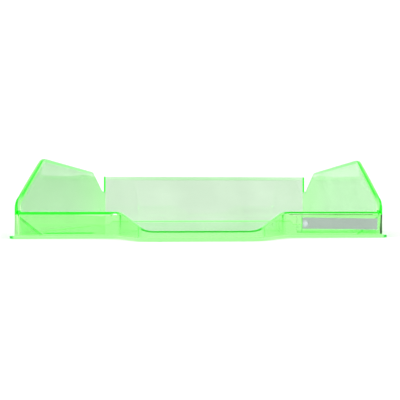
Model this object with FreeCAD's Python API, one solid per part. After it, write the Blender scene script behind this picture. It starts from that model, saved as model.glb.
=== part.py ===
import FreeCAD, Part
import math
import os

# Desk letter tray for A4 paper, stackable, moulded in transparent plastic.
#
# A flat floor overhangs the walls as a thin flange. High side walls rise from the
# front in a curved slope, run level, and drop to a low notch just before the rear
# wall, whose ends turn the corner at full height. The front wall is low. Its middle
# bulges forward into a tongue and dips to a shallow lip, so that a hand can reach the
# paper. A cover on the right of the front wall forms a pocket, open at its right end,
# that holds a paper label.
#
# Frame: millimetres, X to the right, Y from the front to the rear, Z up. The origin is
# on the table, in the middle of the tray's outline. The front faces -Y.
#
# The floor, walls, lip, gussets and feet are one moulding, divided here where its walls
# meet. The label cover and the label card are separate pieces.

# Driving dimensions
OVERALL_WIDTH = 255.0
OVERALL_DEPTH = 357.0
SIDE_HEIGHT = 58.5
REAR_HEIGHT = 57.5
FRONT_HEIGHT = 18.0
LIP_HEIGHT = 6.6
NOTCH_HEIGHT = 38.7
TONGUE_REACH = 34.0
WALL = 2.0
FLOOR_THICKNESS = 1.8
FLANGE = 2.5
FOOT_HEIGHT = 0.3
FOOT_RADIUS = 2.0

# The thicker bands along the top edges
RIM_STEP = 1.0
SIDE_RIM_BAND = 2.6
REAR_RIM_BAND = 3.5
FRONT_RIM_BAND = 1.8

# The side wall's outline: how far behind the front wall each stretch begins
SLOPE_START_HEIGHT = 19.0
SLOPE_LOW = (6.8, 28.0)
SLOPE_HIGH = (53.0, 55.6)
TOP_START = 64.0
TOP_END = 236.0
DROP_START = (247.0, 56.3)
DROP_END = (290.0, 40.0)
NOTCH_START = 297.0

# The corner gussets
GUSSET_ALONG_FRONT = 17.0
GUSSET_ALONG_SIDE = 12.0
GUSSET_THICKNESS = 1.2

# The feet, a small pip at each end of the tongue and near each corner
TONGUE_FOOT_X = 26.0
CORNER_FOOT_X = 112.0
CORNER_FOOT_INSET = 14.0

# Label pocket and card
COVER_LEFT = 64.7
COVER_RIGHT = 121.7
COVER_LOW = 3.6
COVER_HIGH = 15.6
COVER_PLATE = 0.8
POCKET_GAP = 0.8
POCKET_LEFT = 68.2
POCKET_LOW = 4.8
POCKET_HIGH = 14.8
THUMB_HOLE_RADIUS = 2.1
THUMB_HOLE_X = 70.6
CARD_LENGTH = 52.6
CARD_HEIGHT = 7.8
CARD_THICKNESS = 0.35
CARD_LEFT = 68.5
CARD_TILT = 0.9  # degrees, the right end lower

# Places that follow from them
HALF_WIDTH = OVERALL_WIDTH / 2 - FLANGE
REAR_Y = OVERALL_DEPTH / 2 - FLANGE
TONGUE_Y = -OVERALL_DEPTH / 2 + FLANGE
FRONT_Y = TONGUE_Y + TONGUE_REACH
FLOOR_LOW = FOOT_HEIGHT
FLOOR_TOP = FLOOR_LOW + FLOOR_THICKNESS
INNER_HALF = HALF_WIDTH - WALL
REAR_RETURN = 4.0  # how far the rear wall's ends turn the corner
REAR_CORNER = 3.0  # outer radius of that corner
RETURN_Y = REAR_Y - REAR_RETURN

# The tongue in plan, half of it: where its side leaves the front wall and where it meets
# its straight front, with the radii of the outer face there
TONGUE_ROOT = 57.5
TONGUE_FRONT = 37.0
ROOT_RADIUS = 6.0
NOSE_RADIUS = 11.0
LIP_END = 62.0

# The scoop seen from the front: how far from the middle its slope would meet the front wall's
# top and the lip, with the roundings there
SHOULDER_X = 55.6
SHOULDER_RADIUS = 11.0
LIP_CORNER_X = 35.2
LIP_CORNER_RADIUS = 24.0


def rounded_wire(corners, place):
    """A closed wire through corners, each (u, v, radius), with place turning (u, v) into a vector."""
    starts, ends, middles = [], [], []
    for i, (u, v, radius) in enumerate(corners):
        before, after = corners[i - 1], corners[(i + 1) % len(corners)]
        to_before = (before[0] - u, before[1] - v)
        to_after = (after[0] - u, after[1] - v)
        length_before, length_after = math.hypot(*to_before), math.hypot(*to_after)
        a = (to_before[0] / length_before, to_before[1] / length_before)
        b = (to_after[0] / length_after, to_after[1] / length_after)
        if radius == 0:
            starts.append((u, v))
            middles.append(None)
            ends.append((u, v))
            continue
        half = math.acos(a[0] * b[0] + a[1] * b[1]) / 2
        reach = radius / math.tan(half)
        across = (a[0] + b[0], a[1] + b[1])
        size = math.hypot(*across)
        depth = radius / math.sin(half) - radius
        starts.append((u + a[0] * reach, v + a[1] * reach))
        middles.append((u + across[0] / size * depth, v + across[1] / size * depth))
        ends.append((u + b[0] * reach, v + b[1] * reach))
    edges = []
    for i, middle in enumerate(middles):
        if middle is not None:
            arc = Part.Arc(place(*starts[i]), place(*middle), place(*ends[i]))
            edges.append(arc.toShape())
        following = starts[(i + 1) % len(starts)]
        if math.dist(ends[i], following) > 1e-6:
            edges.append(Part.LineSegment(place(*ends[i]), place(*following)).toShape())
    return Part.Wire(edges)


def on_floor(u, v):
    return FreeCAD.Vector(u, v, 0)


def on_side(u, v):
    return FreeCAD.Vector(0, u, v)


def on_front(u, v):
    return FreeCAD.Vector(u, 0, v)


def prism(corners, low, high):
    """A plan outline raised from low to high."""
    face = Part.Face(rounded_wire(corners, on_floor))
    face.translate(FreeCAD.Vector(0, 0, low))
    return face.extrude(FreeCAD.Vector(0, 0, high - low))


def block(x, y, z):
    """A box given by its lowest and highest value on each axis."""
    size = [high - low for low, high in (x, y, z)]
    return Part.makeBox(*size, FreeCAD.Vector(x[0], y[0], z[0]))


def mirrored(shape):
    """The same shape on the other side of the tray."""
    return shape.mirror(FreeCAD.Vector(0, 0, 0), FreeCAD.Vector(1, 0, 0))


def tongue_offset(distance):
    """Half of the tongue's outline, moved inwards by distance: its root and front corners, (x, y, radius)."""
    run = TONGUE_ROOT - TONGUE_FRONT
    slant = math.atan2(TONGUE_REACH, run)
    shift = distance * math.tan(slant / 2)
    root = (TONGUE_ROOT - shift, FRONT_Y + distance, ROOT_RADIUS + distance)
    front = (TONGUE_FRONT - shift, TONGUE_Y + distance, NOSE_RADIUS - distance)
    return root, front


def floor_panel():
    root, front = tongue_offset(-FLANGE)
    edge = HALF_WIDTH + FLANGE
    rear, fore = REAR_Y + FLANGE, FRONT_Y - FLANGE
    corner = REAR_CORNER + FLANGE
    right = [(front[0], front[1], front[2]), (root[0], root[1], root[2]), (edge, fore, 1.5), (edge, rear, corner)]
    left = [(-x, y, radius) for x, y, radius in reversed(right)]
    return prism(right + left, FLOOR_LOW, FLOOR_TOP)


def side_profile():
    """The side wall's outline, seen from the side, as straight runs and arcs in order."""

    def at(behind, height):
        return on_side(FRONT_Y + behind, height)

    slope_start, slope_low, slope_high = at(0, SLOPE_START_HEIGHT), at(*SLOPE_LOW), at(*SLOPE_HIGH)
    top_start, top_end = at(TOP_START, SIDE_HEIGHT), at(TOP_END, SIDE_HEIGHT)
    drop_start, drop_end = at(*DROP_START), at(*DROP_END)
    notch_start, notch_end = at(NOTCH_START, NOTCH_HEIGHT), on_side(RETURN_Y, NOTCH_HEIGHT)
    rear_foot, front_foot = on_side(RETURN_Y, FLOOR_TOP), at(0, FLOOR_TOP)
    edges = [
        Part.LineSegment(front_foot, slope_start),
        Part.Arc(slope_start, at(1.8, 24.2), slope_low),
        Part.Arc(slope_low, at(30.0, 42.3), slope_high),
        Part.Arc(slope_high, at(58.3, 57.8), top_start),
        Part.LineSegment(top_start, top_end),
        Part.Arc(top_end, at(241.8, 57.95), drop_start),
        Part.LineSegment(drop_start, drop_end),
        Part.Arc(drop_end, at(293.8, NOTCH_HEIGHT + 0.35), notch_start),
        Part.LineSegment(notch_start, notch_end),
        Part.LineSegment(notch_end, rear_foot),
        Part.LineSegment(rear_foot, front_foot),
    ]
    return Part.Face(Part.Wire([edge.toShape() for edge in edges]))


def left_side_wall():
    """The plate, with its thicker band on the inner side of the sloping and top edges."""
    face = side_profile()
    face.translate(FreeCAD.Vector(-HALF_WIDTH, 0, 0))
    plate = face.extrude(FreeCAD.Vector(WALL, 0, 0))
    thick = face.extrude(FreeCAD.Vector(WALL + RIM_STEP, 0, 0))
    below = thick.copy()
    below.translate(FreeCAD.Vector(0, 0, -SIDE_RIM_BAND))
    band = thick.cut(below).cut(block((-HALF_WIDTH - 1, 0), (FRONT_Y - 1, RETURN_Y + 1), (0, FRONT_HEIGHT)))
    return plate.fuse(band).removeSplitter()


def rear_wall():
    """The rear wall with its two corner returns, and its thicker band on the inner side."""
    inner_corner = REAR_CORNER - WALL
    right = [
        (INNER_HALF, REAR_Y - WALL, inner_corner),
        (INNER_HALF, RETURN_Y, 0),
        (HALF_WIDTH, RETURN_Y, 0),
        (HALF_WIDTH, REAR_Y, REAR_CORNER),
    ]
    left = [(-x, y, radius) for x, y, radius in reversed(right)]
    wall = prism(right + left, FLOOR_TOP, REAR_HEIGHT)
    rim_front = REAR_Y - WALL - RIM_STEP
    rim_half = INNER_HALF - inner_corner
    band = block((-rim_half, rim_half), (rim_front, REAR_Y - WALL), (REAR_HEIGHT - REAR_RIM_BAND, REAR_HEIGHT))
    return wall.fuse(band).removeSplitter()


def front_wall_left():
    wall = block((-INNER_HALF, -LIP_END), (FRONT_Y, FRONT_Y + WALL), (FLOOR_TOP, FRONT_HEIGHT))
    band_y = (FRONT_Y + WALL, FRONT_Y + WALL + RIM_STEP)
    band = block((-INNER_HALF, -LIP_END), band_y, (FRONT_HEIGHT - FRONT_RIM_BAND, FRONT_HEIGHT))
    return wall.fuse(band).removeSplitter()


def front_lip():
    """The wall around the tongue, cut down to the lip between two rounded shoulders."""
    outer_root, outer_front = tongue_offset(0)
    inner_root, inner_front = tongue_offset(WALL)
    right = [outer_front, outer_root, (LIP_END, FRONT_Y, 0), (LIP_END, FRONT_Y + WALL, 0), inner_root, inner_front]
    left = [(-x, y, radius) for x, y, radius in reversed(right)]
    wall = prism(right + left, FLOOR_TOP, FRONT_HEIGHT)
    scoop = [
        (LIP_END - 1.0, FRONT_HEIGHT + 1.0, 0),
        (LIP_END - 1.0, FRONT_HEIGHT, 0),
        (SHOULDER_X, FRONT_HEIGHT, SHOULDER_RADIUS),
        (LIP_CORNER_X, LIP_HEIGHT, LIP_CORNER_RADIUS),
    ]
    opposite = [(-x, z, radius) for x, z, radius in reversed(scoop)]
    cutter = Part.Face(rounded_wire(scoop + opposite, on_front))
    cutter.translate(FreeCAD.Vector(0, TONGUE_Y - 1, 0))
    return wall.cut(cutter.extrude(FreeCAD.Vector(0, TONGUE_REACH + WALL + 2, 0)))


def corner_wedge(scale):
    """The space under the left gusset's sloping face, scaled about the tray's inner corner."""
    x, y = -INNER_HALF, FRONT_Y + WALL
    height = FRONT_HEIGHT - FRONT_RIM_BAND - FLOOR_TOP
    corner = FreeCAD.Vector(x, y, FLOOR_TOP)
    along_front = FreeCAD.Vector(x + GUSSET_ALONG_FRONT * scale, y, FLOOR_TOP)
    along_side = FreeCAD.Vector(x, y + GUSSET_ALONG_SIDE * scale, FLOOR_TOP)
    peak = FreeCAD.Vector(x, y, FLOOR_TOP + height * scale)
    triangles = [
        (corner, along_front, along_side),
        (corner, along_front, peak),
        (corner, along_side, peak),
        (along_front, along_side, peak),
    ]
    faces = [Part.Face(Part.makePolygon([a, b, c, a])) for a, b, c in triangles]
    wedge = Part.Solid(Part.Shell(faces))
    if wedge.Volume < 0:
        wedge.reverse()
    return wedge


def left_corner_gusset():
    """A thin sloping web in the inner front corner, from the front wall's rim down to the floor."""
    legs = (GUSSET_ALONG_FRONT, GUSSET_ALONG_SIDE, FRONT_HEIGHT - FRONT_RIM_BAND - FLOOR_TOP)
    slope_distance = 1 / math.sqrt(sum(1 / leg**2 for leg in legs))  # from the corner to the sloping face
    return corner_wedge(1.0).cut(corner_wedge(1 - GUSSET_THICKNESS / slope_distance))


def feet():
    """Small pips under the floor: two at the tongue and four near the corners."""
    ends = (FRONT_Y + CORNER_FOOT_INSET, REAR_Y - CORNER_FOOT_INSET)
    places = [(side * TONGUE_FOOT_X, TONGUE_Y + FOOT_RADIUS) for side in (-1, 1)]
    places += [(side * CORNER_FOOT_X, y) for side in (-1, 1) for y in ends]
    pips = [Part.makeCylinder(FOOT_RADIUS, FOOT_HEIGHT, FreeCAD.Vector(x, y, 0)) for x, y in places]
    return Part.makeCompound(pips)


def label_cover():
    """A window plate on a frame, open at the right, with a hole for a fingertip at its closed end."""
    depth = POCKET_GAP + COVER_PLATE
    outside = block((COVER_LEFT, COVER_RIGHT), (FRONT_Y - depth, FRONT_Y), (COVER_LOW, COVER_HIGH))
    pocket_x = (POCKET_LEFT, COVER_RIGHT + 1)
    pocket = block(pocket_x, (FRONT_Y - POCKET_GAP, FRONT_Y + 1), (POCKET_LOW, POCKET_HIGH))
    middle = (POCKET_LOW + POCKET_HIGH) / 2
    hole_start = FreeCAD.Vector(THUMB_HOLE_X, FRONT_Y - depth - 1, middle)
    hole = Part.makeCylinder(THUMB_HOLE_RADIUS, COVER_PLATE + 1.5, hole_start, FreeCAD.Vector(0, 1, 0))
    return outside.cut(pocket).cut(hole)


def label_card():
    middle_x, middle_z = CARD_LEFT + CARD_LENGTH / 2, (POCKET_LOW + POCKET_HIGH) / 2
    front = FRONT_Y - POCKET_GAP / 2 - CARD_THICKNESS / 2
    x = (CARD_LEFT, CARD_LEFT + CARD_LENGTH)
    z = (middle_z - CARD_HEIGHT / 2, middle_z + CARD_HEIGHT / 2)
    card = block(x, (front, front + CARD_THICKNESS), z)
    card.rotate(FreeCAD.Vector(middle_x, 0, middle_z), FreeCAD.Vector(0, 1, 0), CARD_TILT)
    return card


def parts():
    """Every node's shape by its name."""
    left_wall, left_front, left_gusset = left_side_wall(), front_wall_left(), left_corner_gusset()
    return {
        "floor_panel": floor_panel(),
        "left_side_wall": left_wall,
        "right_side_wall": mirrored(left_wall),
        "rear_wall": rear_wall(),
        "front_wall_left": left_front,
        "front_wall_right": mirrored(left_front),
        "front_lip": front_lip(),
        "left_corner_gusset": left_gusset,
        "right_corner_gusset": mirrored(left_gusset),
        "feet": feet(),
        "label_cover": label_cover(),
        "label_card": label_card(),
    }


os.makedirs("parts", exist_ok=True)
for name, shape in parts().items():
    print(name, "valid" if shape.isValid() else "NOT VALID", len(shape.Solids), "solids", round(shape.Volume, 1), "mm3")
    shape.exportStep(f"parts/{name}.step")
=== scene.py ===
"""The looks of the letter tray: a clear green moulding, its label window and its label card.

The moulding is one continuous closed mesh, because clear plastic shows every inner face. A
cross-section of the wall, flange and rims is carried round the tray's outline, and the floor
fills the ring that it makes. Lengths are in millimetres, and MM turns them into metres.
"""
import bisect
import math

import bmesh
import bpy
from mathutils import Matrix, Vector


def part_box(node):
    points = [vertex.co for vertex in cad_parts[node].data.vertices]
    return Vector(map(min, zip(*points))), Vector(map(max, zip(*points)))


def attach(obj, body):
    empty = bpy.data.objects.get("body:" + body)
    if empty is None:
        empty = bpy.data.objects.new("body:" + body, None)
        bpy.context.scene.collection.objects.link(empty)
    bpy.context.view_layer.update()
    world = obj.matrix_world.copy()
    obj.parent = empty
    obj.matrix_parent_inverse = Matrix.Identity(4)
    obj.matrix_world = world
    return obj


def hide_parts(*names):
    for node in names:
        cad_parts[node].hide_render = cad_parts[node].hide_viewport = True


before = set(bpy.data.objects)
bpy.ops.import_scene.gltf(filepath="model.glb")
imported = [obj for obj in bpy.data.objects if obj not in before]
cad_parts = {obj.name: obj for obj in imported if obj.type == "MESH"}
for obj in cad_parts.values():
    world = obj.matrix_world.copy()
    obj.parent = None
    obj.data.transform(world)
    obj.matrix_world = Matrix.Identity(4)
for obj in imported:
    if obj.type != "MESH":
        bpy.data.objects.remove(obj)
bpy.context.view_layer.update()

MM = 0.001
GAP = 0.05  # air between touching clear pieces, so that their faces don't coincide


def box(node):
    """The lowest and highest corner of a CAD node."""
    low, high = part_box(node)
    return low / MM, high / MM


# ---------------------------------------------------------------- sizes from the frame
floor_low, floor_high = box("floor_panel")
side_low, side_high = box("left_side_wall")
rear_high = box("rear_wall")[1]
front_low, front_high = box("front_wall_left")
lip_low = box("front_lip")[0]
cover_low, cover_high = box("label_cover")
card_low, card_high = box("label_card")

UNDERSIDE, FLOOR = floor_low.z, floor_high.z
HALF, FRONT, REAR, NOSE = -side_low.x, front_low.y, rear_high.y, lip_low.y
FLANGE = floor_high.x - HALF
WALL = HALF + front_low.x
RIM_STEP = side_high.x + HALF - WALL
RETURN_Y = side_high.y
SIDE_TOP, REAR_TOP, FRONT_TOP = side_high.z, rear_high.z, front_high.z

# ---------------------------------------------------------------- the moulding's own sizes
NOTCH_TOP, LIP_TOP = 38.7, 6.6
SHOULDER_X, SHOULDER_RADIUS = 55.6, 11.0
LIP_CORNER_X, LIP_CORNER_RADIUS = 35.2, 24.0
LIP_END = 62.0
REAR_CORNER, FRONT_CORNER = 3.0, 0.8
CORNER_ZONE = 3.3  # how far from the front corner the outline's corner stretch reaches
TONGUE_ROOT, TONGUE_FRONT = 57.5, 37.0
ROOT_RADIUS, NOSE_RADIUS = 6.0, 11.0
FILLET = 0.4
WALL_FOOT = 4.2  # above this height the wall's outer rows follow the upper edge

# The side wall's upper edge, as (distance behind the front wall's face, height) or the distance
# alone. Each bow is a point that an arc passes between its two ends.
SLOPE_FOOT, FOOT_BOW = (0, 19.0), (1.8, 24.2)
SLOPE_LOW, SLOPE_BOW, SLOPE_HIGH = (6.8, 28.0), (30, 42.3), (53, 55.6)
FRONT_TOP_BOW, TOP_START, TOP_END, REAR_TOP_BOW = (58.3, 57.8), 64, 236, (241.8, 57.95)
DROP_START, DROP_END = (247, 56.3), (290, 40.0)
NOTCH_BOW, NOTCH_START = (293.8, NOTCH_TOP + 0.35), 297

# The roundings of the edge where its height changes suddenly.
REAR_END_RADIUS, NOTCH_RADIUS, BLOCK_RADIUS = 0.9, 1.2, 0.72

# The edge's own section: its rounding, and the thicker band below it with a taper to the wall.
EDGE_RADIUS = 0.42
BAND_START = EDGE_RADIUS + 0.28
SIDE_BAND, REAR_BAND, FRONT_BAND = 2.6, 3.5, 1.8
SIDE_TAPER, REAR_TAPER, FRONT_TAPER = 6.0, 0.6, 0.8
BAND_END, BAND_FADE = 1.0, 0.7  # its look ends this far above its foot, and fades over this depth
LEVEL_RIM = 0.4  # share of the rim's step on the side wall's level top

FLANGE_RADIUS, FLANGE_RIM = 0.4, 1.1  # its rounding, and the width that has the flange's look

# Angles of the rows that round an edge off by a quarter turn.
ROUNDING = [math.radians(angle) for angle in (0, 30, 60, 90)]


# ---------------------------------------------------------------- the outline in plan
class Straight:
    """A straight stretch of the outline. Every stretch has a length and a number of steps."""

    steps = 1

    def __init__(self, start, end):
        self.start, self.end = Vector(start), Vector(end)
        run = self.end - self.start
        self.length = run.length
        self.outward = Vector((-run.y, run.x)).normalized()

    def at(self, share, offset):
        return self.start.lerp(self.end, share) + self.outward * offset


class Bend:
    """An arc from one angle to another. It bulges outwards where the angle falls."""

    def __init__(self, centre, radius, start, end, steps):
        self.centre, self.radius = Vector(centre), radius
        self.start, self.end, self.steps = start, end, steps
        self.side = 1 if end < start else -1
        self.length = radius * abs(end - start)

    def at(self, share, offset):
        angle = self.start + (self.end - self.start) * share
        direction = Vector((math.cos(angle), math.sin(angle)))
        return self.centre + direction * (self.radius + self.side * offset)


class FrontCorner:
    """A right-angled corner whose small radius grows only a little with the offset."""

    steps = 14
    growth = 0.28

    def __init__(self):
        self.length = self.parts(0)[3]

    def parts(self, offset):
        """The corner's radius, its straight legs' length, its turn's length and the total."""
        radius = FRONT_CORNER + max(offset, 0) * self.growth
        straight = CORNER_ZONE + offset - radius
        turn = radius * math.pi / 2
        return radius, straight, turn, 2 * straight + turn

    def at(self, share, offset):
        radius, straight, turn, total = self.parts(offset)
        along = share * total
        x, y = HALF + offset, FRONT - offset
        if along < straight:
            return Vector((x, FRONT + CORNER_ZONE - along))
        if along > straight + turn:
            return Vector((x - radius - (along - straight - turn), y))
        angle = (along - straight) / radius
        centre = Vector((x - radius, y + radius))
        return centre + Vector((math.cos(angle), -math.sin(angle))) * radius


def outline():
    """Half of the wall's outer face in plan, from the rear's middle to the tongue's middle."""
    slant = math.atan2(FRONT - NOSE, TONGUE_ROOT - TONGUE_FRONT)
    root_x = TONGUE_ROOT + ROOT_RADIUS * math.tan(slant / 2)
    nose_x = TONGUE_FRONT - NOSE_RADIUS * math.tan(slant / 2)
    quarter = math.pi / 2
    rear_corner = Bend((HALF - REAR_CORNER, REAR - REAR_CORNER), REAR_CORNER, quarter, 0, 8)
    root = Bend((root_x, FRONT - ROOT_RADIUS), ROOT_RADIUS, quarter, quarter + slant, 14)
    nose = Bend((nose_x, NOSE + NOSE_RADIUS), NOSE_RADIUS, slant - quarter, -quarter, 20)
    return [
        Straight((0, REAR), (HALF - REAR_CORNER, REAR)),
        rear_corner,
        Straight((HALF, REAR - REAR_CORNER), (HALF, FRONT + CORNER_ZONE)),
        FrontCorner(),
        Straight((HALF - CORNER_ZONE, FRONT), (root_x, FRONT)),
        root,
        Straight(root.at(1, 0), nose.at(0, 0)),
        nose,
        Straight((nose_x, NOSE), (0, NOSE)),
    ]


OUTLINE = outline()
STARTS = [sum(stretch.length for stretch in OUTLINE[:i]) for i in range(len(OUTLINE) + 1)]
SIDE_START, CORNER_START, CORNER_END, FRONT_END, ROOT_END, NOSE_START = STARTS[2:8]
CORNER_TURN_END = CORNER_START + sum(OUTLINE[3].parts(0)[1:3])


def plan(s, offset):
    """The point at length s along the outline, moved outwards by offset."""
    i = min(max(bisect.bisect_right(STARTS, s) - 1, 0), len(OUTLINE) - 1)
    share = (s - STARTS[i]) / OUTLINE[i].length
    return OUTLINE[i].at(min(max(share, 0), 1), offset)


def length_at(axis, value, low, high):
    """The length along the outline, from low to high, at which x (axis 0) or y (axis 1) is value.

    The coordinate has to fall all the way.
    """
    for _ in range(50):
        middle = (low + high) / 2
        low, high = (middle, high) if plan(middle, 0)[axis] > value else (low, middle)
    return low


def side_length(y):
    return length_at(1, y, SIDE_START, CORNER_TURN_END)


def front_length(x):
    return length_at(0, x, CORNER_TURN_END, STARTS[-1])


# ---------------------------------------------------------------- where the looks change
# A fade is a pair of values: the look or the rim is absent at the first and full at the second.
# Where it appears and goes again there are two fades.
# Most of these fades place painted light and shade: edge lines, glints, the bend's line and corner
# strips.
SLOPING = (0.1, 0.45)  # lean of the edge, from level to sloping

# By distance behind the front wall's face.
STEEP_OUTER, STEEP_INNER = (16, 6), (9, 1)
RIM_GROWS, RIM_STARTS = (62, 45), (236, 221)
LEVEL_LINE_STARTS = (245, 232)

# By length along the outline.
# The front corner's painted pale strip of light, its painted dark strip of shade at the right, and
# where the side wall's painted edge line runs down it.
PALE_CORNER = (CORNER_START + 1.4, CORNER_START + 2.4), (CORNER_END, CORNER_END - 1.0)
DARK_CORNER = (
    (CORNER_TURN_END - 0.5, CORNER_TURN_END - 0.1),
    (CORNER_END - 1.1, CORNER_END - 1.5),
)
CORNER_LINE = (CORNER_START + 1.0, CORNER_START + 1.6)
# Where the flange's painted dark edge shade turns into its painted bright light.
FLANGE_BRIGHTENS = (0.66, 0.76)  # shares of the corner's stretch

# By distance from the tray's middle plane, and for the bend's line from BEND_X.
REAR_RIM_STARTS = (HALF - REAR_CORNER - 0.2, HALF - REAR_CORNER - 1.4)
FRONT_RIM_ENDS = (61.2, 62.6)
FRONT_LINE_STARTS = (HALF - WALL - 1, HALF - WALL - 3)
FRONT_LINE_DEEPENS = (HALF - WALL - 0.5, HALF - WALL - 0.8)
FRONT_LINE_NARROWS, SCOOP_LINE_STARTS = (62.6, 60.8), (57.5, 54.5)
BEND_X, BEND_FADE = 54.2, (1.0, 0.55)
SCOOP_EDGE_STARTS, LIP_LINE_STARTS = (56.2, 54.4), (39.5, 37.0)
LEDGE_SPAN = (71, 74), (107, 104)
GLINT_SPANS = {-1: ((57.0, 57.6), (60.2, 59.4)), 1: ((59.4, 60.0), (118.8, 118.0))}

# How far down the outer face the edge's painted line of light and shade reaches, and the blur below
# it.
REAR_DEPTH, LEVEL_DEPTH, SCOOP_DEPTH = 0.6, 1.7, 1.0
FRONT_DEPTHS = {-1: 1.75, 1: 1.2}  # left and right
LINE_BLUR = 0.15

# The two strips of painted highlight and reflection under that line: the gap's depth, the glint's,
# and the blur between them.
GAP_DEPTH, GLINT_DEPTH, GLINT_BLUR = 0.17, 0.7, 0.13

# Heights of the rows near the outer wall's foot. The two in the middle carry the painted refraction
# line of the floor's edge.
LEDGE_ROWS = (2.9, 3.3, 3.45, 4.05, WALL_FOOT)

BASE_GAP = 0.16  # least length between two sections at the floor

# Where the mesh has a section of its own, besides the outline's and the edge's own points.
REAR_STATION = 60.0  # a length along the outline
SIDE_STATIONS = (FRONT + RIM_STARTS[0], FRONT + RIM_STARTS[1], 60.0, 15.0, -30.0)  # y
FRONT_STATIONS = (  # x: the ends of the fades on the front wall, and three places between them
    118.8, 118.0, 107.0, 104.0, 92.0, 74.0, 71.0,
    62.6, 60.8, 60.0, 59.4, 58.2, 57.6, 57.0, 16.0,
)


# ---------------------------------------------------------------- the upper edge
def rounded(corners, step=15):
    """An open run of (u, v, radius) corners, each drawn as an arc with a point per step degrees."""
    points = [Vector(corners[0][:2])]
    for before, (u, v, radius), after in zip(corners, corners[1:], corners[2:]):
        corner = Vector((u, v))
        a = (Vector(before[:2]) - corner).normalized()
        b = (Vector(after[:2]) - corner).normalized()
        if radius == 0:
            points.append(corner)
            continue
        half = math.acos(max(-1, min(1, a.dot(b)))) / 2
        centre = corner + (a + b).normalized() * radius / math.sin(half)
        first = corner + a * radius / math.tan(half) - centre
        last = corner + b * radius / math.tan(half) - centre
        turn = first.angle_signed(last)
        count = max(2, math.ceil(abs(math.degrees(turn)) / step))
        for i in range(count + 1):
            points.append(centre + Matrix.Rotation(-turn * i / count, 2) @ first)
    points.append(Vector(corners[-1][:2]))
    return points


def arc_through(a, b, c, count):
    """Points along the circle's arc from a through b to c."""
    (ax, ay), (bx, by), (cx, cy) = a, b, c
    d = 2 * (ax * (by - cy) + bx * (cy - ay) + cx * (ay - by))
    squares = (ax**2 + ay**2, bx**2 + by**2, cx**2 + cy**2)
    centre = Vector((
        (squares[0] * (by - cy) + squares[1] * (cy - ay) + squares[2] * (ay - by)) / d,
        (squares[0] * (cx - bx) + squares[1] * (ax - cx) + squares[2] * (bx - ax)) / d,
    ))
    first = Vector(a) - centre
    turn = first.angle_signed(Vector(c) - centre)
    return [centre + Matrix.Rotation(-turn * i / count, 2) @ first for i in range(count + 1)]


def side_outline():
    """The side wall's upper edge from the notch to the front, as (y, z) points."""

    def arc(start, bow, end, count):
        """Points along an arc, of which the three given ones are measured from the front."""
        a, b, c = [(FRONT + behind, height) for behind, height in (start, bow, end)]
        return arc_through(a, b, c, count)

    points = arc((NOTCH_START, NOTCH_TOP), NOTCH_BOW, DROP_END, 4)
    points += arc(DROP_START, REAR_TOP_BOW, (TOP_END, SIDE_TOP), 6)
    points += arc((TOP_START, SIDE_TOP), FRONT_TOP_BOW, SLOPE_HIGH, 7)
    points += arc(SLOPE_HIGH, SLOPE_BOW, SLOPE_LOW, 12)[1:]
    points += arc(SLOPE_LOW, FOOT_BOW, SLOPE_FOOT, 9)[1:]
    return points


def upper_edge():
    """The wall's upper edge all along the half outline, as (length, height) points in order."""
    notch_end, rear_end = side_length(FRONT + NOTCH_START), side_length(RETURN_Y)
    block_end, block_top = front_length(HALF - WALL), SLOPE_FOOT[1]
    points = rounded([
        (0, REAR_TOP, 0),
        (rear_end, REAR_TOP, REAR_END_RADIUS),
        (rear_end, NOTCH_TOP, NOTCH_RADIUS),
        (notch_end, NOTCH_TOP, 0),
    ])[:-1]
    points += [Vector((side_length(y), z)) for y, z in side_outline()]
    points += rounded([
        (CORNER_TURN_END, block_top, 0),
        (block_end, block_top, BLOCK_RADIUS),
        (block_end, FRONT_TOP, BLOCK_RADIUS),
        (front_length(LIP_END), FRONT_TOP, 0),
    ])[1:-1]
    scoop = [
        (LIP_END, FRONT_TOP, 0),
        (SHOULDER_X, FRONT_TOP, SHOULDER_RADIUS),
        (LIP_CORNER_X, LIP_TOP, LIP_CORNER_RADIUS),
        (0, LIP_TOP, 0),
    ]
    points += [Vector((front_length(x), z)) for x, z in rounded(scoop, 4)]
    return with_stations(points)


def with_stations(points):
    """The same run of points, with more where the outline bends or where a look changes."""
    stations = [REAR_STATION]
    for i, stretch in enumerate(OUTLINE):
        stations += [STARTS[i] + stretch.length * k / stretch.steps for k in range(stretch.steps)]
    stations += [side_length(y) for y in SIDE_STATIONS]
    stations += [front_length(x) for x in FRONT_STATIONS]
    stations += [front_length(BEND_X + side * away) for side in (-1, 1) for away in BEND_FADE]
    result = [points[0]]
    for a, b in zip(points, points[1:]):
        clear = 0.12
        inside = sorted(s for s in stations if a.x + clear < s < b.x - clear)
        result += [a.lerp(b, (s - a.x) / (b.x - a.x)) for s in inside]
        if (b - result[-1]).length > 0.02:
            result.append(b)
    return result


def never_back(values, gap):
    """The rising sequence nearest to values, with at least gap from each to the next."""
    groups = []
    for i, value in enumerate(values):
        groups.append([value - gap * i, 1])
        while len(groups) > 1 and groups[-2][0] > groups[-1][0]:
            mean, count = groups.pop()
            groups[-1][0] = (groups[-1][0] * groups[-1][1] + mean * count) / (groups[-1][1] + count)
            groups[-1][1] += count
    flat = [mean for mean, count in groups for _ in range(count)]
    return [value + gap * i for i, value in enumerate(flat)]


# ---------------------------------------------------------------- how each part of it looks
class Look:
    """A filter colour for the light that passes, which in many looks carries painted shade, and an
    emission colour that is partly the plastic's fluorescence and partly painted light.
    """

    def __init__(self, tint, glow_and_painted_light):
        self.tint, self.glow_and_painted_light = Vector(tint), Vector(glow_and_painted_light)

    def towards(self, other, share):
        """This look at share 0 and the other at share 1."""
        return Look(self.tint.lerp(other.tint, share), self.glow_and_painted_light.lerp(other.glow_and_painted_light, share))

    def behind(self, colour_filter):
        """The same look seen through one more filter."""
        return Look([a * b for a, b in zip(self.tint, colour_filter)], self.glow_and_painted_light)
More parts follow.
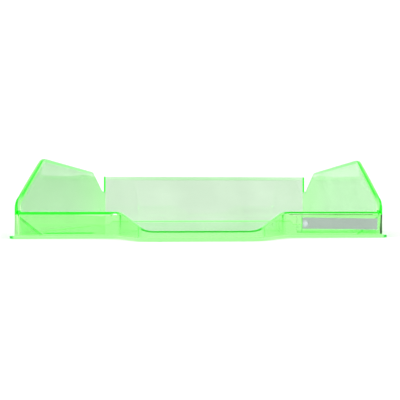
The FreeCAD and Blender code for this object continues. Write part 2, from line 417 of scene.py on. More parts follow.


# The looks below paint light and shade: their emission is painted light, partly standing in for the
# fluorescence, and the edge lines, bands, glints and corner strips are painted shade, highlights
# and reflections of how the clear edges refract and reflect light.
# Where a look has two versions, -1 is the left one and 1 the right one.
WALL_LOOK = Look((0.90, 0.86, 0.90), (0, 0, 0))
# The side walls: the right one painted lighter with a little emission and the left one darker, as
# painted light and shade of how each side is lit.
SIDE_LOOKS_WITH_PAINTED_LIGHT = {
    -1: Look((0.84, 0.94, 0.83), (0, 0, 0)),
    1: Look((0.92, 0.97, 0.91), (0.01, 0.04, 0.01)),
}
# Painted shade: a darker filter on the upper part of the left side wall.
LEFT_TOP_PAINTED_SHADE = (0.60, 0.82, 0.60)
# Painted light: the side wall made brighter and greener towards its rear end, with emission.
REAR_SIDE_PAINTED_LIGHT = Look((0.80, 1.0, 0.74), (0.01, 0.09, 0.0))
# The front wall and the tongue: their colour, with emission that is painted light, partly standing
# in for the fluorescence.
FRONT_LOOK = Look((0.86, 1.0, 0.74), (0.03, 0.11, 0.02))
TONGUE_LOOK = Look((0.95, 1.0, 0.85), (0.05, 0.14, 0.04))
# The flange's edge: bright painted light, partly its fluorescence, and at its ends along the sides
# a painted dark green edge shade.
FLANGE_PAINTED_LIGHT = Look((0.6, 1.0, 0.5), (0.38, 0.92, 0.32))
FLANGE_END_PAINTED_SHADE = Look((0.02, 0.8, 0.04), (0.0, 0.40, 0.03))
# Painted shade: the dark green line along the front wall's rounded top edge, left and right.
FRONT_EDGE_PAINTED_SHADE = {
    -1: Look((0.0002, 0.8, 0.0002), (0.0, 0.26, 0.0)),
    1: Look((0.0002, 0.6, 0.0002), (0.0, 0.14, 0.0)),
}
# A painted white highlight at the left and a painted brown reflection line at the right, under the
# front wall's edge.
PAINTED_GLINTS = {
    -1: Look((1.0, 1.0, 1.0), (0.75, 0.85, 0.75)),
    1: Look((0.03, 0.025, 0.015), (0.05, 0.07, 0.03)),
}
# Painted highlight: the pale strip between that line and the edge's line.
GLINT_GAP_PAINTED_HIGHLIGHT = Look((0.98, 1.0, 0.96), (0.30, 0.45, 0.28))
# Painted shade and light: the saturated green line along the sloping and steep edges, dark in red
# and blue and lit by green emission.
SLOPE_EDGE_PAINTED_SHADE = Look((0.002, 1.0, 0.002), (0.0, 0.86, 0.0))
# Painted shade: the dark green line along the lip's top edge.
LIP_EDGE_PAINTED_SHADE = Look((0.0002, 0.50, 0.0002), (0.0, 0.10, 0.0))
# Painted light: the pale line along the scoop's edge.
SCOOP_EDGE_PAINTED_LIGHT = Look((0.80, 1.0, 0.70), (0.14, 0.45, 0.11))
# Painted shade: a dark line at the bend beside the tongue, over the one that the bend's refraction
# makes.
BEND_PAINTED_SHADE = Look((0.03, 0.75, 0.03), (0.0, 0.10, 0.0))
# Painted refraction: a dark green line where the floor's upper edge is seen through the left front
# wall.
LEDGE_PAINTED_REFRACTION = Look((0.003, 0.90, 0.002), (0.0, 0.30, 0.0))
# The floor: its colour, with a little emission that is painted light.
FLOOR_LOOK = Look((0.92, 0.98, 0.91), (0.0, 0.09, 0.0))
# Painted light: the pale outer strip of the side wall's sloping edge.
PALE_EDGE_PAINTED_LIGHT = Look((0.40, 1.0, 0.30), (0.20, 0.90, 0.12))
# Painted light: the bright inner band under a sloping edge.
BRIGHT_BAND_PAINTED_LIGHT = Look((0.36, 1.0, 0.24), (0.04, 0.20, 0.01))
# The bands under the level side and rear edges: the thicker plastic's deeper green, tuned with
# painted shade, and a little emission that is painted light.
PALE_BAND = Look((0.50, 0.98, 0.46), (0.0, 0.05, 0.0))
REAR_BAND_LOOK = Look((0.90, 0.99, 0.88), (0.01, 0.04, 0.01))
# Painted shade: a darkened outer face under the side wall's level top edge.
TOP_EDGE_PAINTED_SHADE = Look((0.08, 0.98, 0.07), (0.02, 0.12, 0.02))
# Painted light: a pale line where the wall meets the floor.
FLOOR_LINE_PAINTED_LIGHT = Look((0.60, 1.0, 0.50), (0.12, 0.45, 0.10))
# Painted light: a pale strip in the front corner. Painted shade: a dark strip in the right front
# corner, a painted dark reflection.
PALE_CORNER_PAINTED_LIGHT = Look((0.30, 0.62, 0.27), (0.32, 0.76, 0.26))
DARK_CORNER_PAINTED_SHADE = Look((0.05, 0.08, 0.05), (0.01, 0.03, 0.01))
# The gusset: its colour, with a little emission that is painted light.
GUSSET_LOOK = Look((0.92, 1.0, 0.90), (0.01, 0.05, 0.01))
WINDOW_LOOK = Look((0.98, 1.0, 0.97), (0.0, 0.0, 0.0))


def fade(value, start, end):
    """0 before start and 1 after end, for start < end or the other way round."""
    return min(max((value - start) / (end - start), 0), 1)


def between(value, rise, fall):
    """0 outside two fades and 1 between them."""
    return fade(value, *rise) * fade(value, *fall)


def wall_look(s, side):
    """The look of the wall at length s, with its painted light and shade: side wall, corner, front
    wall, tongue.
    """
    # Painted light and shade: each side wall differs left and right, and is brighter towards the
    # rear.
    side_look = SIDE_LOOKS_WITH_PAINTED_LIGHT[side].towards(REAR_SIDE_PAINTED_LIGHT, fade(plan(s, 0).y, 0, RETURN_Y))
    wall = WALL_LOOK.towards(side_look, fade(s, SIDE_START - 2, SIDE_START + 2))
    wall = wall.towards(FRONT_LOOK, fade(s, CORNER_TURN_END, CORNER_END))
    wall = wall.towards(TONGUE_LOOK, fade(s, ROOT_END, NOSE_START))
    # Painted light and shade: a pale strip in the front corner, and at the right a dark strip.
    wall = wall.towards(PALE_CORNER_PAINTED_LIGHT, between(s, *PALE_CORNER))
    if side > 0:
        wall = wall.towards(DARK_CORNER_PAINTED_SHADE, between(s, *DARK_CORNER))
    return wall


def upper_wall_look(s, side, wall):
    """The same near the upper edge.

    The left side wall gets painted shade there, and the bend beside the tongue a painted dark line
    of shade.
    """
    if s < CORNER_END:
        on_left = side < 0 and SIDE_START + 2 < s < CORNER_START
        return wall.behind(LEFT_TOP_PAINTED_SHADE) if on_left else wall
    x = plan(s, 0).x
    return wall.towards(BEND_PAINTED_SHADE, fade(abs(x - BEND_X), *BEND_FADE))


def ledge_painted_refraction(s, side, wall):
    """The same low on the wall, with a painted line where the floor's upper edge is seen through
    the left front wall: a painted refraction.
    """
    if s < CORNER_END or side > 0:
        return wall
    return wall.towards(LEDGE_PAINTED_REFRACTION, between(plan(s, 0).x, *LEDGE_SPAN))


def painted_edge_looks(s, lean, side):
    """The painted looks of the upper edge's outer half, its inner half and the band below it: lines
    and bands of painted light and shade.
    """
    sloping = fade(lean[0], *SLOPING)
    if s < SIDE_START + 2:
        edge = REAR_BAND_LOOK.towards(SLOPE_EDGE_PAINTED_SHADE, sloping)
        return edge, edge, REAR_BAND_LOOK
    x, y = plan(s, 0)
    if s < CORNER_TURN_END:
        outer = PALE_EDGE_PAINTED_LIGHT.towards(SLOPE_EDGE_PAINTED_SHADE, fade(y - FRONT, *STEEP_OUTER))
        inner = SLOPE_EDGE_PAINTED_SHADE.towards(FLANGE_PAINTED_LIGHT, fade(y - FRONT, *STEEP_INNER))
        return (
            TOP_EDGE_PAINTED_SHADE.towards(outer, sloping),
            TOP_EDGE_PAINTED_SHADE.towards(inner, sloping),
            PALE_BAND.towards(BRIGHT_BAND_PAINTED_LIGHT, sloping),
        )
    line = SLOPE_EDGE_PAINTED_SHADE.towards(FRONT_EDGE_PAINTED_SHADE[side], fade(x, *FRONT_LINE_STARTS))
    line = line.towards(SCOOP_EDGE_PAINTED_LIGHT, fade(x, *SCOOP_EDGE_STARTS))
    line = line.towards(LIP_EDGE_PAINTED_SHADE, fade(x, *LIP_LINE_STARTS))
    return line, line, FRONT_LOOK


def painted_glint_looks(s, side, wall):
    """The painted looks of the two strips just under the front wall's edge: painted highlights and
    reflections.

    At the left both are one short bright painted highlight. At the right a pale painted highlight
    lies above a long brown painted reflection. In the corner both carry the side wall's painted
    edge line down to the front wall's.
    """
    if s < CORNER_END:
        line = wall.towards(SLOPE_EDGE_PAINTED_SHADE, fade(s, *CORNER_LINE))
        return line, line
    share = between(plan(s, 0).x, *GLINT_SPANS[side])
    gap = PAINTED_GLINTS[side] if side < 0 else GLINT_GAP_PAINTED_HIGHLIGHT
    return wall.towards(gap, share), wall.towards(PAINTED_GLINTS[side], share)


def flange_look(s):
    """Painted dark green shade along the sides, painted bright light from the corner's front part
    on.
    """
    turned = (s - CORNER_START) / OUTLINE[3].length
    return FLANGE_END_PAINTED_SHADE.towards(FLANGE_PAINTED_LIGHT, fade(turned, *FLANGE_BRIGHTENS))


def foot_look(s, wall):
    """The look of the rounding between the wall and the floor or the flange: a pale line of painted
    light along the sides, turning at the front into a blend of the wall and the flange's painted
    light.
    """
    front = wall.towards(FLANGE_PAINTED_LIGHT, 0.5)
    return FLOOR_LINE_PAINTED_LIGHT.towards(front, fade(s, CORNER_START, CORNER_END))


# ---------------------------------------------------------------- the moulding
def rim(s):
    """The band under the upper edge at length s: how far it stands in, its depth, its taper's."""
    x, y = plan(s, 0)
    if s < SIDE_START:
        return RIM_STEP * fade(x, *REAR_RIM_STARTS), REAR_BAND, REAR_TAPER
    if s < CORNER_START:
        share = LEVEL_RIM + (1 - LEVEL_RIM) * fade(y - FRONT, *RIM_GROWS)
        return RIM_STEP * share * fade(y - FRONT, *RIM_STARTS), SIDE_BAND, SIDE_TAPER
    turned = fade(s, CORNER_START, CORNER_END)
    band = SIDE_BAND + (FRONT_BAND - SIDE_BAND) * turned
    taper = SIDE_TAPER + (FRONT_TAPER - SIDE_TAPER) * turned
    return RIM_STEP * fade(x, *FRONT_RIM_ENDS), band, taper


def line_depth(s, side, lean):
    """How far down the outer face the upper edge's painted line of light and shade reaches."""
    x, y = plan(s, 0)
    if s < CORNER_END:
        deeper = (LEVEL_DEPTH - REAR_DEPTH) * fade(y - FRONT, *LEVEL_LINE_STARTS)
        on_side = fade(s, SIDE_START + 1, SIDE_START + 2) * (REAR_DEPTH + deeper)
        return EDGE_RADIUS + 0.02 + on_side * (1 - fade(abs(lean[0]), *SLOPING))
    wide, narrow = FRONT_DEPTHS[side], FRONT_DEPTHS[1]
    on_front = wide + (narrow - wide) * fade(x, *FRONT_LINE_NARROWS)
    on_front += (SCOOP_DEPTH - narrow) * fade(x, *SCOOP_LINE_STARTS)
    return EDGE_RADIUS + (on_front - EDGE_RADIUS) * fade(x, *FRONT_LINE_DEEPENS)


def section(s, z, lean, base, side):
    """One cross-section of wall and flange, from under the flange over the wall to the floor.

    lean is the upper edge's upward normal as (along the outline, up), and base the length at
    which the section meets the floor. Each row is a point with its look.
    """
    rows = []
    flange, wall, low_wall = flange_look(base), wall_look(s, side), wall_look(base, side)
    foot = foot_look(base, low_wall)
    outer_painted_edge, inner_painted_edge, painted_band = painted_edge_looks(s, lean, side)

    def low(offset, height, look):
        """A row near the floor."""
        x, y = plan(base, offset)
        rows.append(((x, y, height), look))

    def high(offset, depth, look):
        """A row at a depth below the upper edge."""
        x, y = plan(s - lean[0] * depth, offset)
        rows.append(((x, y, z - lean[1] * depth), look))

    def on_the_way(start_s, start_z, end_z, share, offset, look):
        """A row at a share of the way down from a point near the edge to the section's base."""
        x, y = plan(start_s + (base - start_s) * share, offset)
        rows.append(((x, y, start_z + (end_z - start_z) * share), look))

    # The flange and the foot of the outer face.
    low(FLANGE - FLANGE_RIM, UNDERSIDE, low_wall)
    for a in ROUNDING:
        inset, rise = FLANGE_RADIUS * (1 - math.sin(a)), FLANGE_RADIUS * (1 - math.cos(a))
        low(FLANGE - inset, UNDERSIDE + rise, flange)
    for a in ROUNDING:
        inset, fall = FLANGE_RADIUS * (1 - math.cos(a)), FLANGE_RADIUS * (1 - math.sin(a))
        low(FLANGE - inset, FLOOR - fall, flange)
    low(FLANGE - FLANGE_RIM, FLOOR, low_wall.towards(flange, 0.3))
    for a in ROUNDING:
        low(FILLET * (1 - math.sin(a)), FLOOR + FILLET * (1 - math.cos(a)), foot)
    ledge_refraction = ledge_painted_refraction(base, side, low_wall)
    for height, look in zip(LEDGE_ROWS, (low_wall, low_wall, ledge_refraction, ledge_refraction, low_wall)):
        low(0, height, look)

    # The outer face, with the two painted strips of highlight and reflection just under the edge's
    # painted line. At the low lip they are squeezed, so that they stay above the wall's foot.
    line = line_depth(s, side, lean)
    upper_wall = upper_wall_look(s, side, wall)
    gap_painted_highlight, painted_glint = painted_glint_looks(s, side, upper_wall)
    top_s, top_z = s - lean[0] * (line + LINE_BLUR), z - lean[1] * (line + LINE_BLUR)
    reach = GLINT_DEPTH
    if CORNER_LINE[0] < s < CORNER_END:
        reach = max(reach, top_z - (FRONT_TOP - FRONT_DEPTHS[side]))
    for depth, look in (
        (reach + LINE_BLUR, upper_wall),
        (reach, painted_glint),
        (GAP_DEPTH + GLINT_BLUR, painted_glint),
        (GAP_DEPTH, gap_painted_highlight),
    ):
        share = depth * min(1 / (top_z - WALL_FOOT), 0.8)
        on_the_way(top_s, top_z, WALL_FOOT, share, 0, look)
    high(0, line + LINE_BLUR, gap_painted_highlight)
    high(0, line, outer_painted_edge)

    # The rounded edge, whose two painted looks of light and shade meet in the middle of its top.
    # The factor keeps its first row off the line's last one.
    step, band, taper = rim(s)
    inner = -WALL - step
    for a in ROUNDING:
        depth = EDGE_RADIUS * (1 - math.sin(a)) * 0.98
        high(-EDGE_RADIUS * (1 - math.cos(a)), depth, outer_painted_edge)
    high(inner * 0.45, 0, outer_painted_edge)
    high(inner * 0.55, 0, inner_painted_edge)
    for a in ROUNDING:
        high(inner + EDGE_RADIUS * (1 - math.sin(a)), EDGE_RADIUS * (1 - math.cos(a)), inner_painted_edge)

    # The inner face: the band, its taper, the wall and the fillet. Where the wall is low, the
    # band's rows stay 1 mm above the fillet.
    high(inner, BAND_START, painted_band)
    inner_s, inner_z = s - lean[0] * BAND_START, z - lean[1] * BAND_START
    bottom = FLOOR + FILLET
    fading = inner + step * BAND_FADE / (taper + BAND_END)
    for depth, offset, look in (
        (band - BAND_END, inner, painted_band),
        (band - BAND_END + BAND_FADE, fading, wall),
        (band + taper, -WALL, wall),
    ):
        share = min(depth, inner_z - bottom - 1.0) / (inner_z - bottom)
        on_the_way(inner_s, inner_z, bottom, share, offset, look)
    low(-WALL, bottom + FILLET, wall)
    for a in ROUNDING:
        low(-WALL - FILLET * (1 - math.cos(a)), bottom - FILLET * math.sin(a), foot)
    low(-WALL - 2 * FILLET, FLOOR, FLOOR_LOOK)
    return rows


def moulding_mesh():
    """The sections of both halves joined into one closed mesh, with the floor filled in."""
    edge = upper_edge()
    leans = []
    for i in range(len(edge)):
        run = edge[min(i + 1, len(edge) - 1)] - edge[max(i - 1, 0)]
        leans.append((-run.y / run.length, run.x / run.length))
    feet = [point.x - lean[0] * BAND_START for point, lean in zip(edge, leans)]
    bases = never_back(feet, BASE_GAP)
    bases[0], bases[-1] = 0.0, STARTS[-1]
    sections = {
        side: [section(p.x, p.y, lean, base, side) for p, lean, base in zip(edge, leans, bases)]
        for side in (-1, 1)
    }

    mesh = bmesh.new()
    tints = mesh.verts.layers.float_vector.new("tint")
    glows = mesh.verts.layers.float_vector.new("glow_and_painted_light")

    def column(rows, mirror):
        """One section's corners, painted with their looks."""
        made = []
        for (x, y, z), look in rows:
            vert = mesh.verts.new((x * mirror * MM, y * MM, z * MM))
            vert[tints], vert[glows] = look.tint, look.glow_and_painted_light
            made.append(vert)
        return made

    right = [column(rows, 1) for rows in sections[1]]
    left = [right[0]] + [column(rows, -1) for rows in sections[-1][1:-1]] + [right[-1]]
    for half in (right, left):
        for a, b in zip(half, half[1:]):
            for low_a, low_b, high_b, high_a in zip(a, b, b[1:], a[1:]):
                mesh.faces.new((low_a, low_b, high_b, high_a))
    for row in (0, -1):
        fill_floor(mesh, [made[row] for made in right], [made[row] for made in left], bases)
    bmesh.ops.recalc_face_normals(mesh, faces=mesh.faces)
    return mesh


def fill_floor(mesh, right, left, bases):
    """Closes the ring at one face of the floor: caps where it runs across, rungs between them."""
    ends = (SIDE_START, CORNER_START, FRONT_END, NOSE_START)
    side, corner, root, nose = [bisect.bisect_left(bases, end) for end in ends]
    last = len(right) - 1
    for start, end in ((0, side), (corner, root), (nose, last)):
        loop = right[start:end + 1] + left[start:end + 1][::-1]
        mesh.faces.new(list(dict.fromkeys(loop)))
    for start, end in ((side, corner), (root, nose)):
        for i in range(start, end):
            mesh.faces.new((right[i], right[i + 1], left[i + 1], left[i]))


def paint(mesh, look):
    """Gives every corner of a bmesh one look."""
    tints = mesh.verts.layers.float_vector.new("tint")
    glows = mesh.verts.layers.float_vector.new("glow_and_painted_light")
    for vert in mesh.verts:
        vert[tints], vert[glows] = look.tint, look.glow_and_painted_light
    return mesh


def placed(name, mesh):
    """An object of a bmesh, which is freed."""
    data = bpy.data.meshes.new(name)
    mesh.to_mesh(data)
    mesh.free()
    piece = bpy.data.objects.new(name, data)
    bpy.context.scene.collection.objects.link(piece)
    return piece


def finished(name, mesh, material):
    """A piece of a bmesh, smooth over its roundings and flat on its faces."""
    for face in mesh.faces:
        face.smooth = True
    piece = placed(name, mesh)
    piece.data.set_sharp_from_angle(angle=math.radians(35))
    piece.data.materials.append(material)
    weighted = piece.modifiers.new("flat faces", "WEIGHTED_NORMAL")
    weighted.mode = "FACE_AREA"
    weighted.weight = 100
    weighted.keep_sharp = True
    apply_modifiers(piece)
    return piece


def apply_modifiers(piece):
    """Replaces the piece's mesh by the one that its modifiers make."""
    evaluated = piece.evaluated_get(bpy.context.evaluated_depsgraph_get())
    data = bpy.data.meshes.new_from_object(evaluated)
    data.name = piece.name
    piece.modifiers.clear()
    piece.data = data


def gusset_mesh(side):
    """A thin sloping web in a front corner, from under the front wall's rim to the floor."""
    low, high = box("left_corner_gusset")
    corner = Vector((low.x + GAP, low.y + GAP, low.z + GAP))
    legs = high - low - Vector((2, 2, 2)) * GAP
    slope_distance = 1 / math.sqrt(sum(1 / leg**2 for leg in legs))
    thickness = 1.2
    mesh = bmesh.new()
    layers = []
    for scale in (1.0, 1 - thickness / slope_distance):
        tips = [Vector((legs.x, 0, 0)), Vector((0, legs.y, 0)), Vector((0, 0, legs.z))]
        layers.append([mesh.verts.new((corner + tip * scale) * MM) for tip in tips])
    outer, inner = layers
    mesh.faces.new(outer)
    mesh.faces.new(inner)
    for i in range(3):
        j = (i + 1) % 3
        mesh.faces.new((outer[i], outer[j], inner[j], inner[i]))
    bmesh.ops.bevel(mesh, geom=mesh.edges[:], offset=0.12 * MM, segments=2, affect="EDGES")
    if side > 0:
        bmesh.ops.scale(mesh, vec=(-1, 1, 1), verts=mesh.verts)
    bmesh.ops.recalc_face_normals(mesh, faces=mesh.faces)
    return mesh


def feet_mesh():
    """The pips that the tray stands on: low domes with a rounded edge."""
    low, high = box("feet")
    radius, tongue_x, front_inset = 2.0, 26.0, 14
    places = [(side * tongue_x, NOSE + radius) for side in (-1, 1)]
    for side in (-1, 1):
        places += [(side * (high.x - radius), y) for y in (FRONT + front_inset, high.y - radius)]
    profile = ((0.8, 0.0), (1.5, 0.02), (1.85, 0.08), (radius, high.z - low.z - GAP / 2))
    mesh = bmesh.new()
    count = 28
    for x, y in places:
        rings = []
        for r, rise in profile:
            ring = []
            for k in range(count):
                a = 2 * math.pi * k / count
                point = Vector((x + r * math.cos(a), y + r * math.sin(a), low.z + rise))
                ring.append(mesh.verts.new(point * MM))
            rings.append(ring)
        mesh.faces.new(rings[0])
        mesh.faces.new(rings[-1])
        for a, b in zip(rings, rings[1:]):
            for i in range(count):
                j = (i + 1) % count
                mesh.faces.new((a[i], a[j], b[j], b[i]))
    bmesh.ops.recalc_face_normals(mesh, faces=mesh.faces)
    return mesh


# ---------------------------------------------------------------- the label window and card
def block(name, low, high):
    """A plain box, only used to cut with or to be cut."""
    mesh = bmesh.new()
    bmesh.ops.create_cube(mesh, size=1)
    size = Vector(high) - Vector(low)
    centre = (Vector(high) + Vector(low)) / 2
    for vert in mesh.verts:
        vert.co = (vert.co * size + centre) * MM
    return placed(name, mesh)


def rod(name, centre, radius, length):
    """A plain round bar along y, only used to cut with."""
    mesh = bmesh.new()
    bmesh.ops.create_cone(
        mesh, cap_ends=True, segments=48, depth=length * MM,
        radius1=radius * MM, radius2=radius * MM,
    )
    turned = Matrix.Rotation(math.pi / 2, 4, "X")
    matrix = Matrix.Translation(Vector(centre) * MM) @ turned
    bmesh.ops.transform(mesh, matrix=matrix, verts=mesh.verts)
    return placed(name, mesh)


def cut(piece, cutter):
    """Takes the cutter out of the piece and removes it."""
    modifier = piece.modifiers.new("cut", "BOOLEAN")
    modifier.operation = "DIFFERENCE"
    modifier.solver = "EXACT"
    modifier.object = cutter
    apply_modifiers(piece)
    bpy.data.objects.remove(cutter)


def label_window(material):
    """The clear plate on its three-sided frame, with the fingertip hole."""
    pocket_left, pocket_low, pocket_high, pocket_depth = 68.2, 4.8, 14.8, 0.8
    hole_x, hole_radius = 70.6, 2.1
    beyond = 5  # how far the pocket's cutter reaches past the faces that it opens
    piece = block("label_window", cover_low, (cover_high.x, FRONT - GAP, cover_high.z))
    pocket = block(
        "pocket",
        (pocket_left, FRONT - pocket_depth, pocket_low),
        (cover_high.x + beyond, FRONT + beyond, pocket_high),
    )
    cut(piece, pocket)
    hole_centre = (hole_x, cover_low.y, (pocket_low + pocket_high) / 2)
    cut(piece, rod("hole", hole_centre, hole_radius, length=6))
    mesh = bmesh.new()
    mesh.from_mesh(piece.data)
    bpy.data.objects.remove(piece)
    bmesh.ops.dissolve_limit(mesh, angle_limit=0.01, verts=mesh.verts, edges=mesh.edges)
    sharp = [
        edge for edge in mesh.edges
        if len(edge.link_faces) == 2 and edge.calc_face_angle() > math.radians(40)
    ]
    bmesh.ops.bevel(
        mesh, geom=sharp, offset=0.13 * MM, segments=2, affect="EDGES", clamp_overlap=True,
    )
    bmesh.ops.dissolve_degenerate(mesh, dist=0.01 * MM, edges=mesh.edges)
    bmesh.ops.recalc_face_normals(mesh, faces=mesh.faces)
    return finished("label_window", paint(mesh, WINDOW_LOOK), material)


def label_card(material):
    """A thin card with a faint bow, cut square, leaning a little in its pocket."""
    length, height, thickness, tilt = 52.6, 7.8, 0.35, math.radians(0.9)
    bow, wave = 0.1, 0.03
    centre = (card_low + card_high) / 2
    columns, rows = 48, 8
    mesh = bmesh.new()

    def sheet(y_shift):
        """One face of the card, as columns of corners."""
        grid = []
        for i in range(columns + 1):
            line = []
            u = (i / columns - 0.5) * length
            for j in range(rows + 1):
                v = (j / rows - 0.5) * height
                bulge = bow * (math.sin(math.pi * i / columns) - 0.5)
                bulge += wave * math.sin(5 * u / length + v)
                x = centre.x + u * math.cos(tilt) + v * math.sin(tilt)
                z = centre.z - u * math.sin(tilt) + v * math.cos(tilt)
                line.append(mesh.verts.new(Vector((x, centre.y + y_shift + bulge, z)) * MM))
            grid.append(line)
        return grid

    faces = [sheet(-thickness / 2), sheet(thickness / 2)]
    for grid in faces:
        for i in range(columns):
            for j in range(rows):
                mesh.faces.new((grid[i][j], grid[i + 1][j], grid[i + 1][j + 1], grid[i][j + 1]))

    def border(grid):
        """The corners round the sheet's outline, in order."""
        top = [line[-1] for line in grid[1:]]
        bottom = [line[0] for line in grid[-2:0:-1]]
        return grid[0] + top + grid[-1][-2::-1] + bottom

    front, back = border(faces[0]), border(faces[1])
    for i in range(len(front)):
        j = (i + 1) % len(front)
        mesh.faces.new((front[i], front[j], back[j], back[i]))
    bmesh.ops.recalc_face_normals(mesh, faces=mesh.faces)
    return finished("label_sheet", mesh, material)


# ---------------------------------------------------------------- materials
def new_material(name):
    """A material with its node tree and its shader."""
    material = bpy.data.materials.new(name)
    material.use_nodes = True
    return material, material.node_tree, material.node_tree.nodes["Principled BSDF"]


def noise(tree, place, scale, detail):
    """The value of a noise pattern at a place."""
    pattern = tree.nodes.new("ShaderNodeTexNoise")
    pattern.inputs["Scale"].default_value = scale
    pattern.inputs["Detail"].default_value = detail
    tree.links.new(place, pattern.inputs["Vector"])
    return pattern.outputs["Fac"]


def mapped(tree, value, start, end, to_start=0.0, to_end=1.0):
    """The value, with the range from start to end brought to the one from to_start to to_end."""
    node = tree.nodes.new("ShaderNodeMapRange")
    node.inputs["From Min"].default_value = start
    node.inputs["From Max"].default_value = end
    node.inputs["To Min"].default_value = to_start
    node.inputs["To Max"].default_value = to_end
    tree.links.new(value, node.inputs["Value"])
    return node.outputs["Result"]


def bumped(tree, shader, height, strength, distance):
    """Gives the shader's surface a relief."""
    bump = tree.nodes.new("ShaderNodeBump")
    bump.inputs["Strength"].default_value = strength
    bump.inputs["Distance"].default_value = distance
    tree.links.new(height, bump.inputs["Height"])
    tree.links.new(bump.outputs["Normal"], shader.inputs["Normal"])


def painted(tree, name):
    """The colour that the mesh carries under a name."""
    attribute = tree.nodes.new("ShaderNodeAttribute")
    attribute.attribute_name = name
    return attribute.outputs["Color"]


def clear_plastic(name, losses):
    """Clear fluorescent plastic. The losses are those of red, green and blue light, per metre.

    The painted filter colour and emission of each corner say how its faces filter light and how
    brightly they shine: the emission is partly the fluorescent light that comes out along the edges
    and partly painted light, and the darker filters are painted shade.
    """
    material, tree, shader = new_material(name)
    nodes, link = tree.nodes, tree.links.new
    shader.inputs["Transmission Weight"].default_value = 1.0
    shader.inputs["IOR"].default_value = 1.52
    shader.inputs["Emission Strength"].default_value = 1.0
    place = nodes.new("ShaderNodeTexCoord").outputs["Object"]

    clouds = noise(tree, place, scale=17, detail=3)
    flow = mapped(tree, clouds, 0.35, 0.7, to_start=0.94, to_end=1.02)
    tint = nodes.new("ShaderNodeVectorMath")
    tint.operation = "SCALE"
    link(painted(tree, "tint"), tint.inputs["Vector"])
    link(flow, tint.inputs["Scale"])
    link(tint.outputs["Vector"], shader.inputs["Base Color"])
    # Painted light: each corner's emission colour, partly the plastic's fluorescence.
    link(painted(tree, "glow_and_painted_light"), shader.inputs["Emission Color"])

    waves = noise(tree, place, scale=14, detail=2)
    bumped(tree, shader, waves, strength=0.25, distance=0.0006)
    scuffs = noise(tree, place, scale=260, detail=5)
    polish = mapped(tree, scuffs, 0.35, 0.75, to_start=0.012, to_end=0.05)
    link(polish, shader.inputs["Roughness"])

    inside = nodes.new("ShaderNodeVolumeAbsorption")
    most = max(losses) * 1.05
    inside.inputs["Density"].default_value = most
    inside.inputs["Color"].default_value = [1 - loss / most for loss in losses] + [1]
    link(inside.outputs["Volume"], nodes["Material Output"].inputs["Volume"])
    return material


def window_painted_edge_shade(material):
    """Paints dark green lines of shade into the window plastic along the edges of its frame:
    painted shade of how they look seen edge on.

    The lines are spans of z (the frame's lower edges and its top) and of x (the pocket's end).
    """
    tree = material.node_tree
    nodes, link = tree.nodes, tree.links.new
    shader = nodes["Principled BSDF"]
    base = shader.inputs["Base Color"].links[0].from_socket
    split = nodes.new("ShaderNodeSeparateXYZ")
    link(nodes.new("ShaderNodeTexCoord").outputs["Object"], split.inputs["Vector"])
    # The painted shade colour of the lines.
    edge = (0.30, 0.86, 0.26, 1)
    clear = (1, 1, 1, 1)
    blur = 0.12
    for axis, low, high, lines in (
        ("Z", 3.6, 15.6, ((3.6, 4.0), (4.5, 4.85), (15.4, 15.6))),
        ("X", 64.7, 72.7, ((68.0, 68.3),)),
    ):
        ramp = nodes.new("ShaderNodeValToRGB")
        stops = ramp.color_ramp.elements
        stops[0].color = stops[1].color = clear
        for start, end in lines:
            for at, colour in (
                (start - blur, clear), (start, edge), (end, edge), (end + blur, clear),
            ):
                stops.new(fade(at, low, high)).color = colour
        link(mapped(tree, split.outputs[axis], low * MM, high * MM), ramp.inputs["Fac"])
        mix = nodes.new("ShaderNodeVectorMath")
        mix.operation = "MULTIPLY"
        link(base, mix.inputs[0])
        link(ramp.outputs["Color"], mix.inputs[1])
        base = mix.outputs["Vector"]
    link(base, shader.inputs["Base Color"])


def card_paper():
    """Grey uncoated card: soft mottling and fine fibres."""
    material, tree, shader = new_material("card_paper")
    nodes, link = tree.nodes, tree.links.new
    stretch = nodes.new("ShaderNodeMapping")
    stretch.inputs["Scale"].default_value = (1, 1, 3.5)
    link(nodes.new("ShaderNodeTexCoord").outputs["Object"], stretch.inputs["Vector"])
    fibres = noise(tree, stretch.outputs["Vector"], scale=1500, detail=6)
    colours = nodes.new("ShaderNodeValToRGB")
    colours.color_ramp.elements[0].position = 0.3
    colours.color_ramp.elements[0].color = (0.69, 0.74, 0.78, 1)
    colours.color_ramp.elements[1].position = 0.7
    colours.color_ramp.elements[1].color = (0.77, 0.82, 0.86, 1)
    link(fibres, colours.inputs["Fac"])
    link(colours.outputs["Color"], shader.inputs["Base Color"])
    bumped(tree, shader, fibres, strength=0.5, distance=0.00005)
    shader.inputs["Roughness"].default_value = 0.85
    return material


# ---------------------------------------------------------------- stage, light and camera
def stage():
    """A pale floor that curves up into a pale backdrop, in metres."""
    half_width, near, far, height, sweep = 3.0, -2.2, 1.6, 2.6, 0.9
    line = [(near, 0.0), (far - sweep, 0.0)]
    for degrees in range(6, 91, 6):
        a = math.radians(degrees)
        line.append((far - sweep + sweep * math.sin(a), sweep - sweep * math.cos(a)))
    line.append((far, height))
    mesh = bmesh.new()
    pairs = [[mesh.verts.new((x, y, z)) for x in (-half_width, half_width)] for y, z in line]
    for (a, b), (c, d) in zip(pairs, pairs[1:]):
        mesh.faces.new((a, b, d, c)).smooth = True
    backdrop = placed("backdrop", mesh)
    material, _, shader = new_material("studio_paper")
    shader.inputs["Base Color"].default_value = (0.93, 0.93, 0.93, 1)
    shader.inputs["Roughness"].default_value = 0.9
    shader.inputs["Specular IOR Level"].default_value = 0.1
    backdrop.data.materials.append(material)


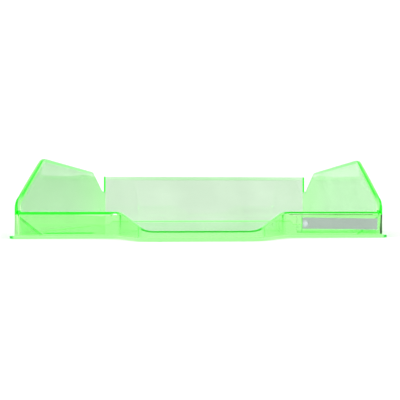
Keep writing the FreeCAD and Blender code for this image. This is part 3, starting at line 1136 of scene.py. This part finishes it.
def light():
    """A bright even room and two large soft lamps."""
    world = bpy.data.worlds.new("studio")
    bpy.context.scene.world = world
    world.use_nodes = True
    world.node_tree.nodes["Background"].inputs["Color"].default_value = (1, 1, 1, 1)
    world.node_tree.nodes["Background"].inputs["Strength"].default_value = 1.05
    for name, place, size, power in (
        ("key", (-0.9, -0.7, 1.3), 1.0, 7),
        ("fill", (1.1, -0.2, 1.1), 1.0, 4),
    ):
        lamp = bpy.data.lights.new(name, "AREA")
        lamp.size, lamp.energy = size, power
        piece = bpy.data.objects.new(name, lamp)
        piece.location = place
        piece.rotation_euler = (-Vector(place)).to_track_quat("-Z", "Y").to_euler()
        bpy.context.scene.collection.objects.link(piece)


def camera():
    """Low and close in front of the tray's middle, looking almost level and a little to the right.

    The lens shift brings the tray back to the middle of the frame.
    """
    data = bpy.data.cameras.new("camera")
    data.sensor_width = 36
    data.lens = 49.49
    data.shift_x = -0.1103
    data.clip_start = 0.01
    piece = bpy.data.objects.new("camera", data)
    piece.location = Vector((4.1, -517.4, 22.8)) * MM
    piece.rotation_euler = (math.radians(90.49), 0, math.radians(-3.71))
    bpy.context.scene.collection.objects.link(piece)
    bpy.context.scene.camera = piece


# ---------------------------------------------------------------- the pieces
moulding_plastic = clear_plastic("moulding_plastic", (200, 45, 212))
window_plastic = clear_plastic("window_plastic", (60, 10, 70))
window_painted_edge_shade(window_plastic)

moulding = finished("tray_moulding", moulding_mesh(), moulding_plastic)
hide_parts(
    "floor_panel", "left_side_wall", "right_side_wall", "rear_wall",
    "front_wall_left", "front_wall_right", "front_lip",
)
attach(moulding, "tray")

for side, name in ((-1, "left_corner_gusset"), (1, "right_corner_gusset")):
    web = finished(name + "_web", paint(gusset_mesh(side), GUSSET_LOOK), moulding_plastic)
    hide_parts(name)
    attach(web, "tray")

# The pips carry the flange ends' painted dark green edge shade.
pips = finished("foot_pips", paint(feet_mesh(), FLANGE_END_PAINTED_SHADE), moulding_plastic)
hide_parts("feet")
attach(pips, "tray")

window = label_window(window_plastic)
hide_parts("label_cover")
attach(window, "tray")

card = label_card(card_paper())
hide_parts("label_card")
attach(card, "label")

stage()
light()
camera()

scene = bpy.context.scene
scene.view_settings.view_transform = "Standard"
scene.cycles.max_bounces = 24
scene.cycles.transmission_bounces = 24
scene.cycles.glossy_bounces = 16
